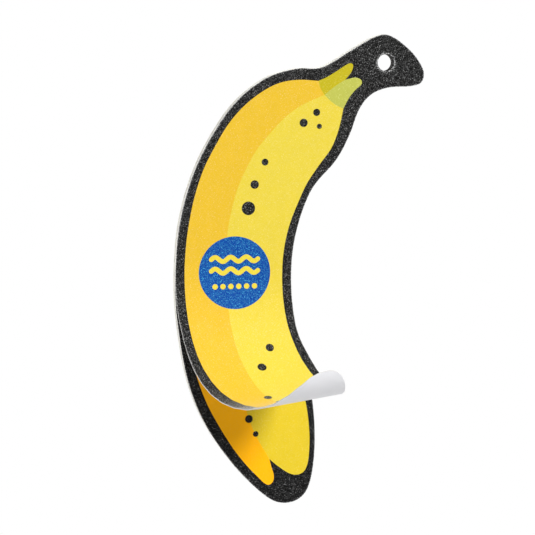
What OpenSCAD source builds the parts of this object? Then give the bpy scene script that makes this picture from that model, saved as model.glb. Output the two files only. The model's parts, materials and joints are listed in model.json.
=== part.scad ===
// Die-cut laminated hand board with a printed top sheet that peels away from its far end.
// Upright, +Z up, front face towards -Y. The origin is the middle of the hanging hole.

/* [Layers] */
// Thickness of each printed sheet
sheet_t = 0.35; // [0.2:0.05:0.6]
// Thickness of the peelable adhesive coat behind the top sheet
adhesive_t = 0.05; // [0.03:0.01:0.1]
// Thickness of each foam cushion
foam_t = 1.3; // [0.8:0.1:2]
// Thickness of each double-sided bonding film
film_t = 0.1; // [0.05:0.05:0.2]
// Thickness of the stiff core
core_t = 0.7; // [0.4:0.1:1.2]

/* [Hanging hole] */
// Diameter of the punched hanging hole
hole_d = 6; // [4:0.5:8]

/* [Peeled flap] */
// Number of bends in the part of the top sheet that is still stuck down
lift_bends = 4; // [2:1:4]
// Number of bends in the curled flap
curl_bends = 16; // [14:1:16]
// Turn of the flap's first bend, in degrees
first_turn = 5.5; // [0:0.1:7]
// How much more each bend turns than the one before it, in degrees
turn_step = 0.5; // [0:0.1:0.6]
// Slope of the peel line, in degrees below level towards the right
peel_slope = 8.5; // [6:0.5:11]
// Angle between two bends of the curled flap, seen from the fan centre, in degrees
curl_pitch = 1.8; // [1.5:0.1:1.8]
// Angle between two bends of the stuck part, seen from the fan centre, in degrees
lift_pitch = 3.2; // [2:0.1:3.4]

/* [Hidden] */

// The die-cut outline passes through these points, clockwise from the top of the stem, x then z.
outline = [
    [-23.5, -1.5], [-12, 5], [-3.5, 9.5], [2, 9.5], [9.5, 4], [14, -2.5], [13.5, -7], [9.5, -8.5],
    [1, -9], [-5.5, -11.5], [-10, -17], [-13.5, -26], [-18.5, -35], [-27.5, -45.5], [-33, -60], [-35, -75],
    [-34, -95], [-30.5, -108], [-27, -122], [-26, -138], [-27.5, -151.5], [-31, -158], [-37.5, -160],
    [-44.5, -157], [-55.5, -146], [-66, -131], [-72.5, -115.5], [-76, -98], [-77.5, -80], [-76, -58],
    [-70.5, -38.5], [-62, -22.5], [-53.5, -12], [-43.5, -5], [-33, -2]
];
curve_steps = 4;

// Every bend line runs through one point, so the sheet curls as a cone.
fan_centre = [122.5, -100];
fan_reach = 260;

stack_t = 3 * sheet_t + adhesive_t + 2 * foam_t + 2 * film_t + core_t;
y_top = -stack_t / 2;
y_second = y_top + sheet_t + adhesive_t;
y_front_foam = y_second + sheet_t;
y_front_film = y_front_foam + foam_t;
y_core = y_front_film + film_t;
y_back_film = y_core + core_t;
y_back_foam = y_back_film + film_t;
y_back_sheet = y_back_foam + foam_t;

yellow = [0.96, 0.86, 0.30];
amber = [0.98, 0.76, 0.20];
cream = [0.87, 0.86, 0.80];
grey = [0.62, 0.61, 0.60];
clear_film = [0.85, 0.86, 0.84];

// Point on a smooth curve from b to c, whose neighbours are a and d.
function smooth_point(a, b, c, d, t) =
    0.5 * (2 * b + (c - a) * t + (2 * a - 5 * b + 4 * c - d) * t * t + (3 * b - a - 3 * c + d) * t * t * t);

function smooth_loop(points, steps) =
    let (n = len(points))
    [for (i = [0 : n - 1], s = [0 : steps - 1])
        smooth_point(points[(i + n - 1) % n], points[i], points[(i + 1) % n], points[(i + 2) % n], s / steps)];

// Bends are numbered from 1 at the stem end. Angle of a bend line from the peel line.
function bend_angle(i) =
    i <= lift_bends
        ? curl_pitch / 2 - (lift_bends + 1 - i) * lift_pitch
        : (i - lift_bends - 0.5) * curl_pitch;

// How far the sheet is turned at a bend: the stuck part is flat.
function bend_turn(i) = i <= lift_bends ? 0 : first_turn + (i - lift_bends - 1) * turn_step;

// Direction of a bend line in the sheet's plane, from the fan centre to the left.
function fan_direction(angle) = let (a = 180 - peel_slope + angle) [cos(a), sin(a)];

function fan_point(angle) = fan_centre + fan_reach * fan_direction(angle);

// A flat layer with the given outline, from y_front backwards.
module layer(y_front, thickness) {
    translate([0, y_front + thickness, 0]) rotate([90, 0, 0]) linear_extrude(thickness) children();
}

module board_outline() {
    difference() {
        polygon(smooth_loop(outline, curve_steps));
        circle(d = hole_d, $fn = 64);
    }
}

// The part of the outline between two bend lines.
module outline_between(from_angle, to_angle) {
    intersection() {
        board_outline();
        polygon([fan_centre, fan_point(from_angle), fan_point((from_angle + to_angle) / 2), fan_point(to_angle)]);
    }
}

// Turns what is beyond bend i about that bend's line on the front face, towards the front.
module turned_at(i) {
    pivot = [fan_centre[0], y_top, fan_centre[1]];
    direction = fan_direction(bend_angle(i));
    translate(pivot) rotate(a = bend_turn(i), v = [direction[0], 0, direction[1]]) translate(-pivot) children();
}

// Carries what is beyond bend i through every bend from the peel line on.
module curled_past(i) {
    if (i <= lift_bends) children();
    else curled_past(i - 1) turned_at(i) children();
}

module top_sheet_stem() {
    color(yellow) layer(y_top, sheet_t + adhesive_t) outline_between(bend_angle(1) - 90, bend_angle(1));
}

// The stretch of top sheet between bend i and the next one.
module top_sheet_link(i) {
    last = lift_bends + curl_bends;
    end_angle = i == last ? bend_angle(i) + 30 : bend_angle(i + 1);
    color(yellow) curled_past(i) layer(y_top, sheet_t) outline_between(bend_angle(i), end_angle);
}

module second_sheet() {
    color(amber) layer(y_second, sheet_t) board_outline();
}

module front_foam() {
    color(cream) layer(y_front_foam, foam_t) board_outline();
}

module front_bond_film() {
    color(clear_film) layer(y_front_film, film_t) board_outline();
}

module stiffener() {
    color(grey) layer(y_core, core_t) board_outline();
}

module back_bond_film() {
    color(clear_film) layer(y_back_film, film_t) board_outline();
}

module back_foam() {
    color(cream) layer(y_back_foam, foam_t) board_outline();
}

module back_sheet() {
    color(amber) layer(y_back_sheet, sheet_t) board_outline();
}

top_sheet_stem();
for (i = [1 : lift_bends]) top_sheet_link(i);
for (i = [1 : curl_bends]) top_sheet_link(lift_bends + i);
second_sheet();
front_foam();
front_bond_film();
stiffener();
back_bond_film();
back_foam();
back_sheet();
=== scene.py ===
"""Banana-shaped hand board: foam laminate with printed grit sheets, the top one peeled into a curl.

Flat drawings are in millimetres, x then z, seen from the front; Blender objects are in metres.
"""

import json
import math
from functools import partial

import bpy
import numpy as np
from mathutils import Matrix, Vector, noise
from mathutils.geometry import delaunay_2d_cdt


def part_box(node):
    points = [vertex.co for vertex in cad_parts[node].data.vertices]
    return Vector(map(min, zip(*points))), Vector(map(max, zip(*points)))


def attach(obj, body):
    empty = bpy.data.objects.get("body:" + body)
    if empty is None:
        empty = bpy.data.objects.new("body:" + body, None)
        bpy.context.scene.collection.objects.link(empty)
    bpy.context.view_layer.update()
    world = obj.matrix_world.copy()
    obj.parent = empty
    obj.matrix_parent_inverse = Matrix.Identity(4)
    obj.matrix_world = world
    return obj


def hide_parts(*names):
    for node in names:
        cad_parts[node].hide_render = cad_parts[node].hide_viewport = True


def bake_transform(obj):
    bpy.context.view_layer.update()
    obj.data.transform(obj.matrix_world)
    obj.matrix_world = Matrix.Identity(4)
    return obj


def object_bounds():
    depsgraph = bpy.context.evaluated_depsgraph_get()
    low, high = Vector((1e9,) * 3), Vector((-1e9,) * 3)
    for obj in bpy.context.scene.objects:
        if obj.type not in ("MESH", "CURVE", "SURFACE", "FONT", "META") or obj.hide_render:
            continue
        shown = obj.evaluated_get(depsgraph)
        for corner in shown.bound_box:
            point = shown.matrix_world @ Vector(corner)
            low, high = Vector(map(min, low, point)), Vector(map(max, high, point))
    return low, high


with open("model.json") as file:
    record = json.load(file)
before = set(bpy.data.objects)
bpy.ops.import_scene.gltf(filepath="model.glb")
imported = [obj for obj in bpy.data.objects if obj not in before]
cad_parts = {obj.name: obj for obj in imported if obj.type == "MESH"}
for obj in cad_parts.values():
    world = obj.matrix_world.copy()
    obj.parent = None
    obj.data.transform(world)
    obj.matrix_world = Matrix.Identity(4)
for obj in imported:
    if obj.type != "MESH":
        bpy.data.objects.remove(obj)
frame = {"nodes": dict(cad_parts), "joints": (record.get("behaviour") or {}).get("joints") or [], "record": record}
CAD_BOX = [list(corner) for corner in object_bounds()]
MM = 0.001

# ---------------------------------------------------------------- sizes in millimetres

HOLE_RADIUS = 3.0          # punched hanging hole
SHEET_T = 0.35             # thickness of a printed sheet
RIM = 0.45                 # width of the rounded, worn edge of a cut sheet
RIM_DROP = 0.07            # how far that edge falls back
PUNCH_RIM = 0.75           # width of the edge that the punch pressed in round the hole
PUNCH_DROP = 0.32          # how far the punch pressed it in
CHIP_MIDDLE = 0.35         # how far from the hole the ring of chipped ink has its middle
CHIP_WIDTH = 0.45          # how far from that middle the chips thin out
CHIP_TOP = 1.2             # over 1, so the ring is evenly chipped for a short way
CHIP_SHARE = 0.85          # how worn it is there
HOLD = 0.06                # share of a strip that stays with its neighbour at either side

# how closely the points of the meshes lie
LINE_STEP = 0.8            # along the drawn lines
LOBE_STEP = 0.5            # along the stem's small lobes
FINE_STEP = 0.35           # round the spots and the emblem's shapes
HOLE_STEP = 0.4            # round the hole
PUNCH_STEP = 0.45          # on the rings in the punch's edge
PUNCH_RINGS = (0.33, 0.66, 1)    # where those rings lie across that edge
EDGE_STEP = 0.2            # along the outline, to measure how far a point is from it
STRIP_REACH = (120, 240)   # how far from the fan's centre the sides of the strips are drawn
GRID_REACH = (100, 260)    # how far from it the points between the lines lie
GRID_STEP = 1.5            # along the fan's rays
GRID_GAP = 0.5             # nearest that those points come to a line
GRID_START = 24            # degrees before the first strip at which the rays start
GRID_TURN = 0.5            # degrees between the rays there
STUCK_RAYS = 6             # rays in a strip that is still stuck
FLAP_RAYS = 4              # rays in a strip of the flap
END_RAYS = 8               # rays past the last of the bends
LEAST_AREA = 5e-8          # smaller triangles are dropped

# ---------------------------------------------------------------- the print, x then z

TIP_NOTCH = (-43, -143.5)
STEM_NOTCH = (-15.2, -6.1)
CAP_LEFT = (-25, -6.4)
CAP_MIDDLE = (-22.8, -11.4)
CAP_RIGHT = (-15.8, -16.4)

YELLOW_SIDE = [
    CAP_RIGHT, (-17, -22), (-18.4, -26.5), (-20.6, -31.2), (-25, -37), (-29.3, -43.3), (-32.7, -50.5),
    (-35.5, -57.5), (-37.4, -65), (-38.3, -73), (-38.2, -84), (-37, -95), (-34.4, -106), (-31.6, -115),
    (-29.6, -122.5), (-28.5, -129), (-28, -136), (-28.2, -142), (-28.8, -146), (-30.2, -148.7),
    (-32.7, -149.7), (-35.7, -149), (-39.7, -146.3), TIP_NOTCH]
ORANGE_SIDE = [
    TIP_NOTCH, (-42.3, -146.3), (-41.4, -149.3), (-41.6, -151.7), (-43.2, -153), (-45, -152.2),
    (-47.2, -150), (-51.7, -145.2), (-56.6, -138.8), (-62, -130), (-65.9, -122.6), (-68.8, -115.2),
    (-71.2, -107), (-73, -97), (-74, -86), (-74.2, -75), (-73.6, -65), (-72.4, -56.5), (-70.4, -47.3),
    (-67.2, -37.8), (-63, -29.6), (-58.5, -22.2), (-53.7, -16.5), (-48.6, -12.1), (-43.2, -8.7),
    (-38, -6.7), (-31.8, -6), CAP_LEFT]
OLIVE_LOBE = [
    CAP_LEFT, (-22, -5.1), (-18.7, -3.2), (-15.4, -1.1), (-13.6, -0.2), (-12.4, -0.5), (-12.3, -1.9),
    (-13.2, -3.8), STEM_NOTCH]
GREEN_LOBE = [
    STEM_NOTCH, (-13.2, -5.6), (-11.2, -5.3), (-9.4, -6), (-8.9, -7.1), (-9.4, -8.1), (-11.4, -9.8),
    (-13.5, -12.3), (-15, -14.9), CAP_RIGHT]
CAP_UPPER = [CAP_LEFT, (-24.3, -9), CAP_MIDDLE]
CAP_LOWER = [CAP_MIDDLE, (-20.6, -13.6), (-18.2, -15.3), CAP_RIGHT]
STEM_DIVIDE = [CAP_MIDDLE, (-18.8, -8.3), STEM_NOTCH]
BODY_DIVIDE = [
    CAP_MIDDLE, (-30.7, -14.8), (-36.6, -18.7), (-42.5, -24.6), (-47.6, -30.7), (-51.4, -37.2),
    (-54.7, -44.5), (-57, -52.5), (-58.4, -60), (-59, -70), (-58.9, -82), (-58.1, -94), (-56.8, -104),
    (-54.8, -113), (-52.6, -121.5), (-50, -130), (-47.2, -136.2), TIP_NOTCH]

SPOTS = [
    (-25.7, -17.7, 1.3), (-30.5, -21.4, 1.5), (-24.7, -22.7, 0.95), (-44.7, -35.3, 1.25),
    (-48.5, -43.3, 1.55), (-50.8, -51.8, 2.45), (-44.8, -102.8, 1.5), (-49, -110.9, 1.65),
    (-50.6, -128.4, 1.45), (-48.1, -134, 1.05)]

BADGE = (-55.9, -74.9)
BADGE_RADIUS = 13.1
WAVE_LENGTH = 5.7          # the emblem's wavy bands
WAVE_COUNT = 3
WAVE_HEIGHT = 0.8
WAVE_WIDTH = 1.7
WAVE_POINTS = 90           # points along each side of a band
WAVE_RISES = (4.9, 0.7)    # how far above the badge's centre each band lies
DOT_RADIUS = 1.0
DOT_COUNT = 6
DOT_GAP = 2.9
DOT_DROP = 4.9             # how far below the badge's centre the dots lie

# the place of each ink among the materials of a printed sheet
INK = {"black": 0, "yellow": 1, "orange": 2, "olive": 3, "green": 4, "blue": 5, "cream": 6}


# ---------------------------------------------------------------- curves

FACES_FRONT = -0.9         # the normal's y is below this where a face looks to the front
ON_FRONT = 1e-5            # metres within which a face lies in the front plane
SAME_CORNER = 1e-6         # metres within which two corners are one


def catmull_rom(points, closed, per_span=16):
    """Points on the smooth curve that passes through the given ones."""
    p = np.array(points, float)
    if closed:
        p = np.vstack([p[-1], p, p[0], p[1]])
    else:
        p = np.vstack([2 * p[0] - p[1], p, 2 * p[-1] - p[-2]])
    t = np.linspace(0, 1, per_span, endpoint=False)[:, None]
    spans = []
    for a, b, c, d in zip(p[:-3], p[1:-2], p[2:-1], p[3:]):
        spans.append(0.5 * (2 * b + (c - a) * t + (2 * a - 5 * b + 4 * c - d) * t**2
                            + (3 * b - a - 3 * c + d) * t**3))
    curve = np.vstack(spans)
    return curve if closed else np.vstack([curve, p[-2]])


def respaced(curve, closed, step=LINE_STEP):
    """The same line with its points evenly spaced."""
    line = np.vstack([curve, curve[:1]]) if closed else curve
    along = np.concatenate([[0], np.cumsum(np.linalg.norm(np.diff(line, axis=0), axis=1))])
    count = max(2, round(along[-1] / step))
    at = np.linspace(0, along[-1], count + 1)
    even = np.column_stack([np.interp(at, along, line[:, k]) for k in (0, 1)])
    return even[:-1] if closed else even


def smooth_line(points, step=LINE_STEP):
    """Evenly spaced points on the open curve through the given ones."""
    return respaced(catmull_rom(points, False), False, step)


def ring(x, z, radius, step=LINE_STEP):
    """Points round a circle."""
    count = max(20, round(2 * math.pi * radius / step))
    turn = np.linspace(0, 2 * math.pi, count, endpoint=False)
    return np.column_stack([x + radius * np.cos(turn), z + radius * np.sin(turn)])


def inside(points, polygon):
    """Which of the points lie inside the closed polygon."""
    x, z = points[:, 0], points[:, 1]
    found = np.zeros(len(points), bool)
    for (x1, z1), (x2, z2) in zip(polygon, np.roll(polygon, -1, axis=0)):
        if z1 != z2:
            crosses = ((z1 > z) != (z2 > z)) & (x < (x2 - x1) * (z - z1) / (z2 - z1) + x1)
            found ^= crosses
    return found


def moved_in(loop, distance):
    """A clockwise loop moved towards its inside."""
    along = np.roll(loop, -1, axis=0) - np.roll(loop, 1, axis=0)
    along /= np.linalg.norm(along, axis=1)[:, None]
    return loop + distance * np.column_stack([along[:, 1], -along[:, 0]])


def front_rim(name):
    """The edges round a CAD sheet's front face, from corner to corner, and where the corners lie."""
    mesh = frame["nodes"][name].data
    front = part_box(name)[0].y
    where, edges = {}, {}
    for face in mesh.polygons:
        places = [mesh.vertices[v].co for v in face.vertices]
        if face.normal.y < FACES_FRONT and abs(places[0].y - front) < ON_FRONT:
            corners = [(round(p.x / SAME_CORNER), round(p.z / SAME_CORNER)) for p in places]
            for corner, p in zip(corners, places):
                where.setdefault(corner, (p.x / MM, p.z / MM))
            for pair in zip(corners, corners[1:] + corners[:1]):
                edges[pair] = True
    return {a: b for a, b in edges if (b, a) not in edges}, where


def die_outline():
    """The board's outline from the CAD sheet, as a smooth clockwise loop."""
    rim, where = front_rim("second_sheet")
    loops = []
    while rim:
        loop = [next(iter(rim))]
        while loop[-1] in rim:
            loop.append(rim.pop(loop[-1]))
        loops.append(np.array([where[corner] for corner in loop[:-1]]))
    loop = max(loops, key=len_of_loop)
    area = np.sum(loop[:, 0] * np.roll(loop[:, 1], -1) - loop[:, 1] * np.roll(loop[:, 0], -1))
    return respaced(catmull_rom(loop if area < 0 else loop[::-1], True), True)


def len_of_loop(loop):
    """How long a closed loop is."""
    return np.linalg.norm(loop - np.roll(loop, 1, axis=0), axis=1).sum()


OUTLINE = die_outline()
HOLE = ring(0, 0, HOLE_RADIUS, HOLE_STEP)


# ---------------------------------------------------------------- the fan of bends

def fan():
    """Where the bend lines meet, and each bend's angle in the flat sheet and its turn at rest."""
    lifts = sorted((j for j in frame["joints"] if j["name"].startswith("lift")), key=joint_number)
    curls = sorted((j for j in frame["joints"] if j["name"].startswith("curl")), key=joint_number)
    (p, u), (q, v) = [(np.array(j["pos_m"])[[0, 2]] / MM, np.array(j["axis"])[[0, 2]]) for j in lifts[:2]]
    s = np.linalg.solve(np.column_stack([u, -v]), q - p)
    centre = p + s[0] * u
    lift_angles = [math.atan2(j["axis"][2], j["axis"][0]) for j in lifts]
    flat_first = math.atan2(curls[0]["axis"][2], curls[0]["axis"][0])
    turns = [math.radians(-j["range_deg"][0]) for j in curls]
    axes = [np.array(j["axis"]) for j in curls]
    pitch = math.acos(np.clip(axes[0] @ axes[1], -1, 1))
    curl_angles = [flat_first + k * pitch for k in range(len(curls))]
    return centre, lift_angles + curl_angles, turns, pitch, lifts + curls


def joint_number(joint):
    """The number at the end of a joint's name."""
    return int(joint["name"].split("_")[1])


FAN, BEND_ANGLES, TURNS, PITCH, JOINTS = fan()
PEEL_ANGLE = BEND_ANGLES[len(JOINTS) - len(TURNS)] - PITCH / 2
Y_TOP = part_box("top_sheet_stem")[0].y / MM
REACH = math.hypot(*(np.array(JOINTS[0]["pos_m"])[[0, 2]] / MM - FAN))
BEND_PASSES = 12           # rounds in which a bent point and its share of the bend come to agree


def direction(angle):
    """The unit vector at this angle in the plane of the flat sheet."""
    return np.array([math.cos(angle), 0, math.sin(angle)])


def rotations(axis, angles):
    """One rotation about the axis for each angle."""
    x, y, z = axis
    cross = np.array([[0, -z, y], [z, 0, -x], [-y, x, 0]])
    turns = np.reshape(angles, (-1, 1, 1))
    return np.eye(3) + np.sin(turns) * cross + (1 - np.cos(turns)) * cross @ cross


def link_turns():
    """The rotation of each link of the sheet at rest, about the point where the bend lines meet."""
    turns = [np.eye(3)]
    for angle, turn in zip(BEND_ANGLES, ALL_TURNS):
        turns.append(turns[-1] @ rotations(direction(angle), [turn])[0])
    return turns


ALL_TURNS = [0.0] * (len(JOINTS) - len(TURNS)) + TURNS
LINK_TURNS = link_turns()
PIVOT = np.array([FAN[0], Y_TOP, FAN[1]])


def fan_angles(points):
    """The angle of each flat point about the fan's centre."""
    angles = np.arctan2(points[:, 1] - FAN[1], points[:, 0] - FAN[0])
    return np.where(angles > 0, angles, angles + 2 * math.pi)


def from_pivot(points, depths):
    """Points of the flat top sheet, these depths behind its front face, seen from the pivot."""
    return np.column_stack([points[:, 0] - FAN[0], depths, points[:, 1] - FAN[1]])


def strip_ends(k):
    """Where strip k starts and finishes its bend, at rest, from the pivot."""
    low, high = STRIP_BOUNDS[k], STRIP_BOUNDS[k + 1]
    held = HOLD * (high - low)
    return (LINK_TURNS[k] @ (REACH * direction(low + held)),
            LINK_TURNS[k + 1] @ (REACH * direction(high - held)))


def bent_strip(k, points, depths):
    start, end = strip_ends(k)
    chord = (end - start) / np.sum((end - start)**2)
    flat = from_pivot(points, depths)
    share = np.full(len(points), 0.5)
    for _ in range(BEND_PASSES):
        bends = rotations(direction(BEND_ANGLES[k]), smooth_step(share) * ALL_TURNS[k])
        bent = np.einsum("ij,njk,nk->ni", LINK_TURNS[k], bends, flat)
        share = np.clip((bent - start) @ chord, 0, 1)
    return bent + PIVOT


def smooth_step(share):
    return share * share * (3 - 2 * share)


def strip_facing(k, points):
    """The sheet's rotation at points of strip k, turning evenly from one side to the other."""
    low, high = STRIP_BOUNDS[k], STRIP_BOUNDS[k + 1]
    even = np.clip((fan_angles(points) - low) / (high - low), 0, 1)
    return LINK_TURNS[k] @ rotations(direction(BEND_ANGLES[k]), even * ALL_TURNS[k])


# ---------------------------------------------------------------- the flat sheet, cut into regions

def wave_band():
    """One of the emblem's wavy bands, about its own middle, without its round ends."""
    half = WAVE_LENGTH * WAVE_COUNT / 2
    x = np.linspace(-half, half, WAVE_POINTS)
    centre = WAVE_HEIGHT * np.sin(2 * math.pi * (x + half) / WAVE_LENGTH)
    slope = WAVE_HEIGHT * 2 * math.pi / WAVE_LENGTH * np.cos(2 * math.pi * (x + half) / WAVE_LENGTH)
    side = np.column_stack([-slope, np.ones_like(x)]) / np.sqrt(1 + slope**2)[:, None]
    middle = np.column_stack([x, centre])
    return np.vstack([middle + side * WAVE_WIDTH / 2, (middle - side * WAVE_WIDTH / 2)[::-1]])


def emblem_shapes():
    """The emblem's bands, their round ends and the row of dots."""
    shapes = [wave_band() + np.array(BADGE) + [0, rise] for rise in WAVE_RISES]
    for rise in WAVE_RISES:
        for side in (-1, 1):
            end = BADGE[0] + side * WAVE_LENGTH * WAVE_COUNT / 2
            shapes.append(ring(end, BADGE[1] + rise, WAVE_WIDTH / 2, FINE_STEP))
    for k in range(DOT_COUNT):
        x = BADGE[0] + (k - (DOT_COUNT - 1) / 2) * DOT_GAP
        shapes.append(ring(x, BADGE[1] - DOT_DROP, DOT_RADIUS, FINE_STEP))
    return shapes


def strip_bounds():
    """Fan angles halfway between the bends, where one strip of top sheet ends and the next begins."""
    half = (BEND_ANGLES[1] - BEND_ANGLES[0]) / 2
    between = [(a + b) / 2 for a, b in zip(BEND_ANGLES, BEND_ANGLES[1:])]
    return [BEND_ANGLES[0] - half] + between + [BEND_ANGLES[-1] + PITCH / 2]


STRIP_BOUNDS = strip_bounds()


def grid_points():
    """Points on the fan's rays, so that the sheet bends without creases."""
    start = STRIP_BOUNDS[0] - math.radians(GRID_START)
    angles = list(np.arange(start, STRIP_BOUNDS[0], math.radians(GRID_TURN)))
    for a, b in zip(STRIP_BOUNDS, STRIP_BOUNDS[1:]):
        count = FLAP_RAYS if b > PEEL_ANGLE else STUCK_RAYS
        angles += [a + (b - a) * k / count for k in range(count)]
    angles += [STRIP_BOUNDS[-1] + PITCH / FLAP_RAYS * k for k in range(END_RAYS)]
    radii = np.arange(*GRID_REACH, GRID_STEP)
    return np.array([FAN + r * direction(a)[[0, 2]] for a in angles for r in radii])


def nearest(points, others):
    """How far each point is from the nearest of the others, worked out some 500 points at a time."""
    found = np.empty(len(points))
    for chunk in np.array_split(np.arange(len(points)), max(1, len(points) // 500)):
        gap = points[chunk][:, None, :] - others[None, :, :]
        found[chunk] = np.sqrt((gap**2).sum(axis=2)).min(axis=1)
    return found


def print_lines():
    """The open lines that bound the printed shapes, by name."""
    return {
        "yellow_side": smooth_line(YELLOW_SIDE), "orange_side": smooth_line(ORANGE_SIDE),
        "olive_lobe": smooth_line(OLIVE_LOBE, LOBE_STEP), "green_lobe": smooth_line(GREEN_LOBE, LOBE_STEP),
        "cap_upper": smooth_line(CAP_UPPER), "cap_lower": smooth_line(CAP_LOWER),
        "stem_divide": smooth_line(STEM_DIVIDE), "body_divide": smooth_line(BODY_DIVIDE)}


def rim_loops():
    """The sheet's cut edges, and the loops that let them round off."""
    loops = [OUTLINE, HOLE, moved_in(OUTLINE, RIM), moved_in(OUTLINE, RIM / 2)]
    return loops + [ring(0, 0, HOLE_RADIUS + PUNCH_RIM * share, PUNCH_STEP) for share in PUNCH_RINGS]


def triangulated(loops, lines):
    """Triangles of the flat sheet, with edges along the loops, the lines and the sides of the strips."""
    verts, edges = [], []

    def add_line(points, closed):
        first = len(verts)
        verts.extend(Vector(p) for p in points)
        edges.extend((first + i, first + i + 1) for i in range(len(points) - 1))
        if closed:
            edges.append((first + len(points) - 1, first))

    for loop in loops:
        add_line(loop, True)
    for line in lines:
        add_line(line, False)
    drawn = np.array([list(v) for v in verts])
    for angle in STRIP_BOUNDS:
        along = direction(angle)[[0, 2]]
        add_line([FAN + r * along for r in np.arange(*STRIP_REACH, GRID_STEP)], False)
    grid = grid_points()
    grid = grid[inside(grid, OUTLINE)]
    grid = grid[nearest(grid, drawn) > GRID_GAP]
    verts.extend(Vector(p) for p in grid)
    verts, _, faces, *_ = delaunay_2d_cdt(verts, edges, [], 0, 1e-4)
    return np.array([list(v) for v in verts]), np.array([f for f in faces])


def facing_front(points, faces):
    """The triangles that belong to the sheet, without slivers, turned to the front, and their middles."""
    middle = points[faces].mean(axis=1)
    keep = inside(middle, OUTLINE) & ~inside(middle, HOLE)
    faces, middle = faces[keep], middle[keep]
    a, b, c = (points[faces[:, k]] for k in range(3))
    area = ((b[:, 0] - a[:, 0]) * (c[:, 1] - a[:, 1]) - (b[:, 1] - a[:, 1]) * (c[:, 0] - a[:, 0])) / 2
    keep = np.abs(area) > LEAST_AREA
    faces, middle = faces[keep], middle[keep]
    flipped = area[keep] < 0
    faces[flipped] = faces[flipped][:, ::-1]
    return faces, middle


def fill(ink, middle, shapes, name):
    """Gives the triangles whose middles lie inside the shapes the ink of this name."""
    for shape in shapes:
        ink[inside(middle, shape)] = INK[name]


def flat_sheet():
    """The flat sheet's points, triangles, their middles, and their inks with and without the badge."""
    lines = print_lines()
    spots = [ring(x, z, r, FINE_STEP) for x, z, r in SPOTS]
    badge = ring(*BADGE, BADGE_RADIUS)
    emblem = emblem_shapes()
    points, faces = triangulated(rim_loops() + [badge] + spots + emblem, lines.values())
    faces, middle = facing_front(points, faces)
    regions = {
        "yellow": [lines["yellow_side"], lines["body_divide"][::-1], lines["cap_lower"]],
        "orange": [lines["orange_side"], lines["cap_upper"], lines["body_divide"]],
        "olive": [lines["olive_lobe"], lines["stem_divide"][::-1], lines["cap_upper"][::-1]],
        "green": [lines["green_lobe"], lines["cap_lower"][::-1], lines["stem_divide"]]}
    plain = np.full(len(faces), INK["black"])
    for name, parts in regions.items():
        fill(plain, middle, [np.vstack(parts)], name)
    fill(plain, middle, spots, "black")
    ink = plain.copy()
    fill(ink, middle, [badge], "blue")
    fill(ink, middle, emblem, "cream")
    return points, faces, middle, ink, plain


POINTS, FACES, MIDDLES, INKS, PLAIN_INKS = flat_sheet()
EDGE_GAP = nearest(POINTS, respaced(OUTLINE, True, EDGE_STEP))
HOLE_GAP = np.abs(np.linalg.norm(POINTS, axis=1) - HOLE_RADIUS)


def rim_share(gap, width):
    """1 on a cut edge, falling to 0 at width from it."""
    return np.clip(1 - gap / width, 0, 1)


def worn_share():
    """How worn the print is: at the cut edge, and in a ring of chips round the hole."""
    chips = CHIP_TOP - np.abs(HOLE_GAP - CHIP_MIDDLE) / CHIP_WIDTH
    return np.maximum(rim_share(EDGE_GAP, RIM), CHIP_SHARE * np.clip(chips, 0, 1))


def front_drop():
    """How far the front face falls back near a cut edge, with the punch's deeper edge at the hole."""
    drop = RIM_DROP * rim_share(EDGE_GAP, RIM)**2
    return drop + PUNCH_DROP * rim_share(HOLE_GAP, PUNCH_RIM)**2


WORN_SHARE = worn_share()
FRONT_DROP = front_drop()


# ---------------------------------------------------------------- meshes

BORE_SWELL = 1.6           # how much more a layer swells into the hole than outwards
SHARP_FROM = 50            # degrees between faces from which their edge is shaded sharp
EDGE_ROUND = 0.35          # how far a sheet's normals lean outwards on its cut edge
HOLE_MARGIN = 0.1          # how near the hole's edge a wall's points lie
BULGE_POWER = 0.6          # below 1, so a swollen edge is blunt
WOBBLE_ALONG = 0.9         # how quickly the roughness changes along a cut edge
WOBBLE_DOWN = 2.5          # and from its front to its back


def open_edges(faces):
    """Edges that only one of the triangles has."""
    seen = {}
    for face in faces:
        for k in range(3):
            a, b = int(face[k]), int(face[(k + 1) % 3])
            seen[(a, b)] = True
    return [(a, b) for a, b in seen if (b, a) not in seen]


REAL_EDGES = {tuple(sorted(e)) for e in open_edges(FACES)}


def new_object(name, verts, faces, materials, slots, flat=None, rim=None):
    """A mesh object in the scene.

    slots says which of the materials each face has. flat is where each point lies in the flat drawing,
    and rim how worn the print is there.
    """
    mesh = bpy.data.meshes.new(name)
    mesh.from_pydata([tuple(v) for v in verts], [], [tuple(f) for f in faces])
    for material in materials:
        mesh.materials.append(material)
    mesh.polygons.foreach_set("material_index", np.array(slots, np.int32))
    mesh.polygons.foreach_set("use_smooth", np.ones(len(faces), bool))
    if flat is not None:
        layer = mesh.attributes.new("flat", "FLOAT_VECTOR", "POINT")
        layer.data.foreach_set("vector", np.array(flat, np.float32).ravel())
    if rim is not None:
        layer = mesh.attributes.new("rim", "FLOAT", "POINT")
        layer.data.foreach_set("value", np.array(rim, np.float32))
    mesh.validate()
    mesh.update()
    obj = bpy.data.objects.new(name, mesh)
    bpy.context.scene.collection.objects.link(obj)
    return obj


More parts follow.
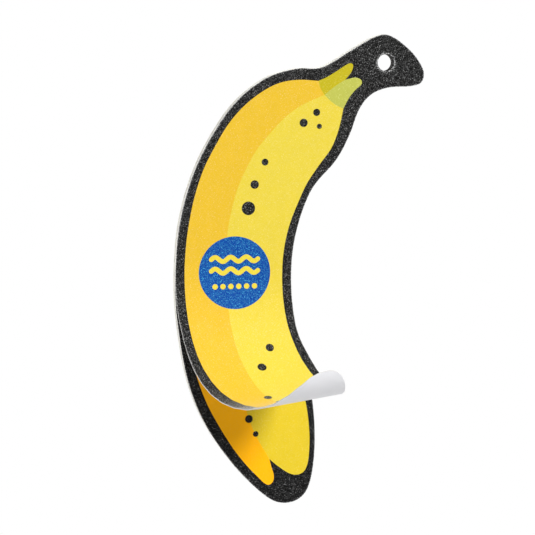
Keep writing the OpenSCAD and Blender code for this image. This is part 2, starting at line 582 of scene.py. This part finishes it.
def sheet_solid(name, chosen, place, facing, inks, materials, thickness=SHEET_T, front=1):
    """A closed piece of printed sheet made of the chosen flat triangles.

    place puts flat points and their depths into the frame, and facing is the rotation there.
    The print is on the front where front is 1, and on the back where it is -1.
    """
    faces = FACES[chosen]
    used, local = np.unique(faces, return_inverse=True)
    local = local.reshape(faces.shape)
    count = len(used)
    at = POINTS[used]
    dips = FRONT_DROP[used] * front
    near = dips if front == 1 else np.zeros(count)
    far = np.full(count, thickness) + (dips if front == -1 else 0)
    verts = np.vstack([place(at, near), place(at, far)]) * MM
    flat = np.vstack([np.column_stack([at[:, 0], d, at[:, 1]]) for d in (near, far)])
    walls = np.array(open_edges(faces))
    index = {int(v): i for i, v in enumerate(used)}
    i, j = (np.array([index[int(v)] for v in walls[:, k]]) for k in (0, 1))
    wall_faces = np.column_stack([j, i, i + count, j + count])
    # Round the hole a sheet's cut wall takes the black ink. This is partly ink that the punch pressed over the
    # edge, and partly painted shade inside the hole.
    at_hole = np.hypot(*POINTS[walls[:, 0]].T) < HOLE_RADIUS + HOLE_MARGIN
    wall_inks = np.where(at_hole, INK["black"], CUT_EDGE)
    plain = np.full(len(faces), FILM_BACK)
    slots = [inks[chosen], plain, wall_inks] if front == 1 else [plain, inks[chosen], wall_inks]
    all_faces = [list(f) for part in (local, local[:, ::-1] + count, wall_faces) for f in part]
    rim = np.tile(WORN_SHARE[used], 2)
    obj = new_object(name, verts, all_faces, materials, np.concatenate(slots), flat, rim)
    set_normals(obj, used, walls, facing(at), front)
    return obj


def set_normals(obj, used, walls, turns, front):
    """Exact normals, so that neighbouring strips shade as one sheet."""
    mesh, count = obj.data, len(used)
    out = np.zeros((len(POINTS), 3))
    for a, b in walls:
        if tuple(sorted((a, b))) in REAL_EDGES:
            along = POINTS[b] - POINTS[a]
            out[[a, b]] += np.array([along[1], 0, -along[0]]) / (np.linalg.norm(along) + 1e-9)
    sideways = np.einsum("nij,nj->ni", turns, out[used])
    on_edge = np.linalg.norm(sideways, axis=1) > 0
    sideways[on_edge] /= np.linalg.norm(sideways[on_edge], axis=1)[:, None]
    face_on = -turns[:, :, 1]
    rounded = face_on * front + EDGE_ROUND * sideways
    rounded /= np.linalg.norm(rounded, axis=1)[:, None]
    layers = [rounded, -face_on] if front == 1 else [face_on, rounded]
    normals = np.zeros((len(mesh.loops), 3))
    for face in mesh.polygons:
        for k in face.loop_indices:
            v = mesh.loops[k].vertex_index
            if len(face.vertices) == 3:
                normals[k] = layers[v // count][v % count]
            elif on_edge[v % count]:
                normals[k] = sideways[v % count]
            else:
                normals[k] = face.normal
    mesh.normals_split_custom_set(normals.tolist())


def rough_wall(loop, depths, bulge, roughness, seed):
    """Rings of points down a cut edge, swollen by bulge and roughened."""
    sideways = moved_in(loop, -1) - loop
    points = []
    for k, y in enumerate(depths):
        swell = bulge * math.sin(math.pi * (k / (len(depths) - 1)))**BULGE_POWER
        for p, s in zip(loop, sideways):
            at = Vector((p[0] * WOBBLE_ALONG, y * WOBBLE_DOWN + seed, p[1] * WOBBLE_ALONG))
            wobble = noise.noise(at)
            q = p + s * (swell + roughness * wobble)
            points.append((q[0], y, q[1]))
    return points


def wall_faces(first, count, rings):
    """Faces between the rings of a wall whose points start at first."""
    faces = []
    for k in range(rings - 1):
        for i in range(count):
            a, b = first + k * count + i, first + k * count + (i + 1) % count
            faces.append((a, b, b + count, a + count))
    return faces


def cap_faces(points, outer_ids, inner_ids, outer, inner, flip):
    """Triangles across one face of a layer, from its outline to its hole."""
    ids = list(outer_ids) + list(inner_ids)
    outer_count, inner_count = len(outer), len(inner)
    flat_points = [Vector((points[i][0], points[i][2])) for i in ids]
    edges = [(i, (i + 1) % outer_count) for i in range(outer_count)]
    edges += [(outer_count + i, outer_count + (i + 1) % inner_count) for i in range(inner_count)]
    cap_verts, _, cap, orig, *_ = delaunay_2d_cdt(flat_points, edges, [], 0, 1e-5)
    at, cap = np.array([list(v) for v in cap_verts]), np.array(cap)
    centre = at[cap].mean(axis=1)
    faces = []
    for f in cap[inside(centre, outer) & ~inside(centre, inner)]:
        a, b, c = at[f]
        turn = (b[0] - a[0]) * (c[1] - a[1]) - (b[1] - a[1]) * (c[0] - a[0])
        corner = [ids[orig[v][0]] for v in f]
        faces.append(tuple(corner if (turn > 0) != flip else corner[::-1]))
    return faces


def layer_solid(name, y_front, y_back, materials, bulge=0.0, roughness=0.0, inset=0.0, rings=6, seed=0):
    """A full layer of the laminate, with its cut edge swollen by bulge and roughened.

    The first material is the layer's own, and the second is its wall in the punched hole.
    """
    outer = moved_in(OUTLINE, inset)
    inner = ring(0, 0, HOLE_RADIUS + inset, HOLE_STEP)[::-1]
    depths = np.linspace(y_front, y_back, rings)
    points, faces, slots = [], [], []
    for slot, (loop, grow) in enumerate(((outer, 1), (inner, BORE_SWELL))):
        sides = wall_faces(len(points), len(loop), rings)
        points += rough_wall(loop, depths, bulge * grow, roughness, seed)
        faces += sides
        slots += [slot] * len(sides)
    second = len(outer) * rings
    for k, flip in ((0, False), (rings - 1, True)):
        outer_ids = range(k * len(outer), (k + 1) * len(outer))
        inner_ids = range(second + k * len(inner), second + (k + 1) * len(inner))
        faces += cap_faces(points, outer_ids, inner_ids, outer, inner, flip)
    slots += [0] * (len(faces) - len(slots))
    obj = new_object(name, np.array(points) * MM, faces, materials, slots, points)
    mark_sharp(obj, SHARP_FROM)
    return obj


def mark_sharp(obj, degrees):
    """Splits the shading where two faces meet at more than this angle."""
    mesh = obj.data
    sides = {}
    for face in mesh.polygons:
        for key in face.edge_keys:
            sides.setdefault(key, []).append(face.normal)
    limit = math.cos(math.radians(degrees))
    sharp = [len(sides[e.key]) == 2 and sides[e.key][0].dot(sides[e.key][1]) < limit for e in mesh.edges]
    layer = mesh.attributes.get("sharp_edge") or mesh.attributes.new("sharp_edge", "BOOLEAN", "EDGE")
    layer.data.foreach_set("value", sharp)


# ---------------------------------------------------------------- materials

def srgb(r, g, b):
    """A colour given in 0 to 255 as Blender's linear values."""
    def one(c):
        c /= 255
        return c / 12.92 if c <= 0.04045 else ((c + 0.055) / 1.055)**2.4
    return (one(r), one(g), one(b), 1)


GRAINS = 2.9               # abrasive grains to the millimetre
FINE_GRAINS = 6.0          # finer grains between them, to the millimetre
WORN_COLOUR = srgb(205, 205, 205)    # bare grit where the ink is chipped off


class Nodes:
    """A short way to write a material's nodes."""

    def __init__(self, name):
        self.material = bpy.data.materials.new(name)
        self.material.use_nodes = True
        self.tree = self.material.node_tree
        self.shader = self.tree.nodes["Principled BSDF"]

    def add(self, kind, inputs=None, **settings):
        node = self.tree.nodes.new(kind)
        for key, value in settings.items():
            setattr(node, key, value)
        for key, value in (inputs or {}).items():
            self.put(node.inputs[key], value)
        return node

    def put(self, socket, value):
        if isinstance(value, bpy.types.NodeSocket):
            self.tree.links.new(value, socket)
        else:
            socket.default_value = value

    def flat(self):
        """Where a point lies in the flat drawing, so the grain stays on a sheet as it bends."""
        return self.add("ShaderNodeAttribute", attribute_name="flat").outputs["Vector"]

    def noise(self, scale, detail=2.0, roughness=0.5, vector=None):
        node = self.add("ShaderNodeTexNoise", {"Scale": scale, "Detail": detail, "Roughness": roughness,
                                               "Vector": vector or self.flat()})
        return node.outputs["Fac"]

    def cells(self, scale, feature="F1"):
        return self.add("ShaderNodeTexVoronoi", {"Scale": scale, "Vector": self.flat()}, feature=feature)

    def math(self, operation, a, b=0.0):
        node = self.add("ShaderNodeMath", operation=operation)
        self.put(node.inputs[0], a)
        self.put(node.inputs[1], b)
        return node.outputs[0]

    def ramp(self, value, low, high, to_low=0.0, to_high=1.0):
        node = self.add("ShaderNodeMapRange", {"Value": value, "From Min": low, "From Max": high,
                                               "To Min": to_low, "To Max": to_high})
        return node.outputs["Result"]

    def mix(self, share, a, b):
        node = self.add("ShaderNodeMix", data_type="RGBA")
        self.put(node.inputs["Factor"], share)
        self.put(node.inputs["A"], a)
        self.put(node.inputs["B"], b)
        return node.outputs["Result"]

    def bump(self, height, strength, distance, normal=None):
        node = self.add("ShaderNodeBump", {"Height": height, "Strength": strength, "Distance": distance})
        if normal is not None:
            self.put(node.inputs["Normal"], normal)
        return node.outputs["Normal"]


def grit_ink(name, colour, speck, share, glint=0.5, sheen=0.4):
    """Printed film over abrasive grit: grains of the speck colour show through a share of the ink. The pale specks
    are partly the grains' own colour and partly painted glints of the grit.

    glint is the bumps' strength and sheen the haze that the grit gives.
    """
    n = Nodes(name)
    n.shader.inputs["Specular IOR Level"].default_value = 0.12
    n.shader.inputs["Sheen Weight"].default_value = sheen
    n.shader.inputs["Sheen Roughness"].default_value = 0.3
    grains = n.cells(GRAINS)
    pick = n.add("ShaderNodeSeparateColor", {"Color": grains.outputs["Color"]}).outputs[0]
    clouds = n.ramp(n.noise(1.3, 3), 0.3, 0.7, -0.08, 0.08)
    lit = n.math("POWER", n.ramp(n.math("ADD", pick, clouds), 1 - share, 1.0), 2.0)
    core = n.ramp(grains.outputs["Distance"], 0.15, 0.5, 1.0, 0.0)
    fine = n.cells(FINE_GRAINS)
    fine_pick = n.add("ShaderNodeSeparateColor", {"Color": fine.outputs["Color"]}).outputs[1]
    fine_specks = n.ramp(fine_pick, 1 - share / 2, 1.2, 0.0, 0.5)
    specks = n.math("MAXIMUM", n.math("MULTIPLY", lit, core), fine_specks)
    drift = n.ramp(n.noise(0.25, 4, 0.6), 0.35, 0.65)
    # The pale specks are painted glints, which lighten the base colour where grains would catch the light, on top
    # of the grains' own paler colour.
    ink = n.mix(specks, n.mix(drift, colour, darker(colour, 0.97)), speck)
    worn = n.add("ShaderNodeAttribute", attribute_name="rim").outputs["Fac"]
    chipped = n.ramp(n.math("ADD", worn, n.ramp(n.noise(2.6, 3, 0.7), 0.36, 0.64, -0.9, 0.5)), 0.4, 0.9)
    n.put(n.shader.inputs["Base Color"], n.mix(n.math("MULTIPLY", chipped, 0.7), ink, WORN_COLOUR))
    n.put(n.shader.inputs["Roughness"], n.ramp(pick, 0.5, 1, 0.7, 0.3))
    n.put(n.shader.inputs["Normal"], n.bump(n.noise(3.4, 3, 0.7), glint, 0.00016))
    return n.material


def darker(colour, share):
    """The colour with this share of its light."""
    return tuple(c * share for c in colour[:3]) + (1,)


def film_back():
    """Smooth white underside of a peeled sheet."""
    n = Nodes("white_film_back")
    drift = n.noise(0.06, 2, 0.4)
    tone = n.mix(n.ramp(drift, 0.35, 0.65), srgb(229, 229, 232), srgb(226, 226, 229))
    n.put(n.shader.inputs["Base Color"], tone)
    n.put(n.shader.inputs["Roughness"], n.ramp(n.noise(1.5, 2), 0.3, 0.7, 0.42, 0.5))
    n.put(n.shader.inputs["Normal"], n.bump(n.noise(0.3, 2, 0.4), 0.05, 0.0001))
    return n.material


def cut_paper():
    """Cut edge of a printed sheet."""
    n = Nodes("cut_sheet_edge")
    fibres = n.noise(5, 3, 0.7)
    tone = n.mix(n.ramp(fibres, 0.35, 0.7), srgb(222, 221, 218), srgb(184, 181, 177))
    n.put(n.shader.inputs["Base Color"], tone)
    n.shader.inputs["Roughness"].default_value = 0.75
    n.put(n.shader.inputs["Normal"], n.bump(fibres, 0.4, 0.00006))
    return n.material


def foam(name, colour, shade):
    """Closed-cell foam: small cells and the die's faint drag."""
    n = Nodes(name)
    cells = n.cells(3.4, "SMOOTH_F1")
    clumps = n.noise(0.8, 4, 0.6)
    tone = n.mix(n.ramp(cells.outputs["Distance"], 0.1, 0.6), colour, shade)
    tone = n.mix(n.ramp(clumps, 0.4, 0.75, 0, 0.5), tone, shade)
    n.put(n.shader.inputs["Base Color"], tone)
    n.shader.inputs["Roughness"].default_value = 0.92
    n.shader.inputs["Subsurface Weight"].default_value = 0.15
    n.shader.inputs["Subsurface Radius"].default_value = (0.0008, 0.0007, 0.0006)
    n.put(n.shader.inputs["Normal"], n.bump(cells.outputs["Distance"], 0.5, 0.0001))
    return n.material


def core_plastic():
    """Grey sheet plastic with a sheared edge."""
    n = Nodes("grey_core")
    streak = n.add("ShaderNodeMapping", {"Vector": n.flat(), "Scale": (3.0, 0.5, 3.0)}).outputs["Vector"]
    shear = n.noise(1.6, 3, 0.6, streak)
    tone = n.mix(n.ramp(shear, 0.3, 0.7), srgb(172, 169, 164), srgb(148, 145, 141))
    n.put(n.shader.inputs["Base Color"], tone)
    n.shader.inputs["Roughness"].default_value = 0.6
    n.put(n.shader.inputs["Normal"], n.bump(shear, 0.3, 0.00006))
    return n.material


def bond_film():
    """Clear double-sided film, milky at its cut edge."""
    n = Nodes("milky_bond_film")
    haze = n.noise(2.4, 2)
    n.put(n.shader.inputs["Base Color"], n.mix(haze, srgb(206, 205, 198), srgb(222, 221, 214)))
    n.shader.inputs["Roughness"].default_value = 0.4
    return n.material


COMMON_SLOTS = [
    grit_ink("olive_grit", srgb(190, 175, 25), srgb(230, 220, 110), 0.3),
    grit_ink("green_grit", srgb(186, 188, 82), srgb(230, 234, 150), 0.3),
    grit_ink("blue_grit", srgb(0, 66, 156), srgb(95, 222, 255), 0.58, 1.0, 0.1),
    grit_ink("cream_grit", srgb(229, 208, 66), srgb(240, 228, 140), 0.3),
    film_back(),
    cut_paper(),
]
# The top sheet's inks: the lit copy of the print, hazier and with paler specks than the set below.
TOP_SHEET_INKS = [
    grit_ink("black_grit_top", srgb(6, 6, 5), srgb(186, 186, 186), 0.42, 1.0, 0.9),
    grit_ink("yellow_grit_top", srgb(225, 202, 62), srgb(238, 224, 148), 0.5),
    grit_ink("orange_grit_top", srgb(226, 184, 40), srgb(238, 208, 134), 0.5),
] + COMMON_SLOTS
# A darker, less hazy copy of the same inks for the second and back sheets. It is painted shade for the second
# sheet under the peeled flap, and partly a fresher sheet.
SHADED_FRESH_SHEET = [
    grit_ink("black_grit_fresh_shaded", srgb(2, 2, 2), srgb(155, 155, 155), 0.34, 1.0, 0.2),
    grit_ink("yellow_grit_fresh_shaded", srgb(219, 190, 34), srgb(230, 212, 110), 0.5),
    grit_ink("orange_grit_fresh_shaded", srgb(255, 180, 0), srgb(255, 190, 20), 0.4),
] + COMMON_SLOTS
FILM_BACK = len(SHADED_FRESH_SHEET) - 2     # the same places in TOP_SHEET_INKS
CUT_EDGE = len(SHADED_FRESH_SHEET) - 1
CREAM_FOAM = foam("cream_foam", srgb(243, 242, 235), srgb(222, 220, 210))
PALE_FOAM = foam("pale_foam", srgb(240, 239, 233), srgb(218, 216, 208))
# The hole's wall through the foam and films is dark partly from black ink that the punch smeared in, and partly as
# painted shade for the dark inside of the hole.
INK_AND_SHADE_BORE = foam("ink_smeared_shaded_bore", srgb(70, 68, 66), srgb(38, 37, 36))
CORE = core_plastic()
FILM = bond_film()


# ---------------------------------------------------------------- the pieces

def flat_at(y_front):
    """A placer for a sheet that lies flat, with its front face at y_front."""
    def place(points, depths):
        return np.column_stack([points[:, 0], y_front + depths, points[:, 1]])
    return place


def no_turn(points):
    """The rotation at each point of a sheet that lies flat."""
    return np.tile(np.eye(3), (len(points), 1, 1))


def body_sheet(name, inks, front):
    """One of the sheets that stay on the board."""
    low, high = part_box(name)
    everything = np.ones(len(FACES), bool)
    # The darker, less hazy inks paint the shade under the flap onto the second sheet.
    piece = sheet_solid(name + "_print", everything, flat_at(low.y / MM), no_turn, inks, SHADED_FRESH_SHEET,
                        (high.y - low.y) / MM, front)
    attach(piece, "board")
    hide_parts(name)


def laminate():
    """The layers between the sheets: name, materials, slot, bulge, roughness and inset."""
    layers = [
        ("front_foam", [PALE_FOAM, INK_AND_SHADE_BORE], "foam", 0.10, 0.05, 0.02),
        ("front_bond_film", [FILM, INK_AND_SHADE_BORE], "bond_film", 0.0, 0.02, 0.06),
        ("stiffener", [CORE, INK_AND_SHADE_BORE], "core", 0.0, 0.03, 0.05),
        ("back_bond_film", [FILM, INK_AND_SHADE_BORE], "bond_film", 0.0, 0.02, 0.06),
        ("back_foam", [CREAM_FOAM, INK_AND_SHADE_BORE], "foam", 0.10, 0.05, 0.02)]
    for seed, (name, materials, slot, bulge, roughness, inset) in enumerate(layers):
        low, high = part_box(name)
        rings = 7 if bulge else 3
        piece = layer_solid(name + "_cut", low.y / MM, high.y / MM, materials, bulge, roughness, inset,
                            rings, seed)
        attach(piece, "board")
        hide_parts(name)


def top_sheet():
    """The peelable sheet: its stem part, then one strip across each bend, shaped round that bend as it lies at
    rest.
    """
    angles = fan_angles(MIDDLES)
    stem = sheet_solid("top_sheet_stem_print", angles < STRIP_BOUNDS[0], flat_at(Y_TOP), no_turn, INKS,
                       TOP_SHEET_INKS)
    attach(stem, "board")
    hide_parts("top_sheet_stem")
    for k, joint in enumerate(JOINTS):
        chosen = angles >= STRIP_BOUNDS[k]
        if k + 1 < len(JOINTS):
            chosen &= angles < STRIP_BOUNDS[k + 1]
        strip = sheet_solid("top_sheet_print_%02d" % (k + 1), chosen, partial(bent_strip, k),
                            partial(strip_facing, k), INKS, TOP_SHEET_INKS)
        start, end = (tuple((p + PIVOT) * MM) for p in strip_ends(k))
        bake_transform(strip)
        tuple(start)
        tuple(end)
        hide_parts(*frame["record"]["behaviour"]["bodies"][joint["child"]])


# ---------------------------------------------------------------- the studio

VIEW_LEFT = math.radians(12.66)      # the camera's place, from straight in front
VIEW_UP = math.radians(6.29)
VIEW_DISTANCE = 0.792
VIEW_TARGET = Vector((-0.0438, Y_TOP * MM, -0.0733))
LENS = 148.0
SENSOR = 36

FLOOR_DROP = 0.34          # how far the floor lies below the object
FLOOR_SIDE = 3             # how far it reaches to either side
FLOOR_FRONT = -4
FLOOR_BACK = 1.1
FLOOR_COLOUR = srgb(208, 208, 208)
WALL_AT = 3                # how far behind the object the backdrop stands
WALL_SIDE = 4              # how far it reaches to either side
WALL_FOOT = -3
WALL_HEAD = 4
WALL_GLOW = 1.0            # just white in the picture, so edges against it stay smooth

WORLD_LIGHT = 0.22         # what the air round the object gives off
WORLD_SEEN = 0.82          # how bright it looks past the floor and backdrop, much like the floor

# two lights: degrees to the right of the front, degrees up, degrees across, and strength
KEY_RIGHT = 45
KEY_UP = 36
KEY_SPREAD = 20
KEY_STRENGTH = 4.05
RIM_RIGHT = -115
RIM_UP = 18
RIM_SPREAD = 50
RIM_STRENGTH = 3.0


def camera():
    """A long lens to the left of the front, a little above."""
    data = bpy.data.cameras.new("camera")
    data.lens = LENS
    data.sensor_width = SENSOR
    obj = bpy.data.objects.new("camera", data)
    back = Vector((-math.sin(VIEW_LEFT) * math.cos(VIEW_UP), -math.cos(VIEW_LEFT) * math.cos(VIEW_UP),
                   math.sin(VIEW_UP)))
    obj.location = VIEW_TARGET + back * VIEW_DISTANCE
    obj.rotation_euler = (-back).to_track_quat("-Z", "Y").to_euler()
    bpy.context.scene.collection.objects.link(obj)
    bpy.context.scene.camera = obj


def sun(name, right, up, spread, strength):
    """A broad soft light from this many degrees to the right of the front and above the horizon."""
    data = bpy.data.lights.new(name, "SUN")
    data.angle = math.radians(spread)
    data.energy = strength
    obj = bpy.data.objects.new(name, data)
    side, rise = math.radians(right), math.radians(up)
    back = Vector((math.sin(side) * math.cos(rise), -math.cos(side) * math.cos(rise), math.sin(rise)))
    obj.rotation_euler = back.to_track_quat("Z", "Y").to_euler()
    bpy.context.scene.collection.objects.link(obj)


def stage_plane(name, corners, colour, glow=0.0):
    """A dull plane of the studio, which may glow by itself."""
    n = Nodes(name + "_paint")
    n.shader.inputs["Base Color"].default_value = colour
    n.shader.inputs["Roughness"].default_value = 0.9
    n.shader.inputs["Specular IOR Level"].default_value = 0
    n.shader.inputs["Emission Color"].default_value = (1, 1, 1, 1)
    n.shader.inputs["Emission Strength"].default_value = glow
    new_object(name, corners, [(0, 1, 2, 3)], [n.material], [0])


def air():
    """An even white world, dim as a light and pale where it is seen."""
    world = bpy.data.worlds.new("studio")
    world.use_nodes = True
    tree = world.node_tree
    strength = tree.nodes.new("ShaderNodeMapRange")
    strength.inputs["To Min"].default_value = WORLD_LIGHT
    strength.inputs["To Max"].default_value = WORLD_SEEN
    seen = tree.nodes.new("ShaderNodeLightPath").outputs["Is Camera Ray"]
    tree.links.new(seen, strength.inputs["Value"])
    tree.nodes["Background"].inputs["Color"].default_value = (1, 1, 1, 1)
    tree.links.new(strength.outputs["Result"], tree.nodes["Background"].inputs["Strength"])
    return world


def studio():
    """A pale floor, a white wall behind it, dim air all round, a key light and a rim light."""
    low = CAD_BOX[0][2] - FLOOR_DROP
    floor = [(-FLOOR_SIDE, FLOOR_FRONT, low), (FLOOR_SIDE, FLOOR_FRONT, low),
             (FLOOR_SIDE, FLOOR_BACK, low), (-FLOOR_SIDE, FLOOR_BACK, low)]
    wall = [(-WALL_SIDE, WALL_AT, WALL_FOOT), (WALL_SIDE, WALL_AT, WALL_FOOT),
            (WALL_SIDE, WALL_AT, WALL_HEAD), (-WALL_SIDE, WALL_AT, WALL_HEAD)]
    stage_plane("floor", floor, FLOOR_COLOUR)
    stage_plane("backdrop", wall, srgb(0, 0, 0), WALL_GLOW)
    bpy.context.scene.world = air()
    sun("key", KEY_RIGHT, KEY_UP, KEY_SPREAD, KEY_STRENGTH)
    sun("rim", RIM_RIGHT, RIM_UP, RIM_SPREAD, RIM_STRENGTH)


bpy.context.scene.view_settings.view_transform = "Standard"
camera()
studio()
body_sheet("second_sheet", INKS, 1)
body_sheet("back_sheet", PLAIN_INKS, -1)
laminate()
top_sheet()
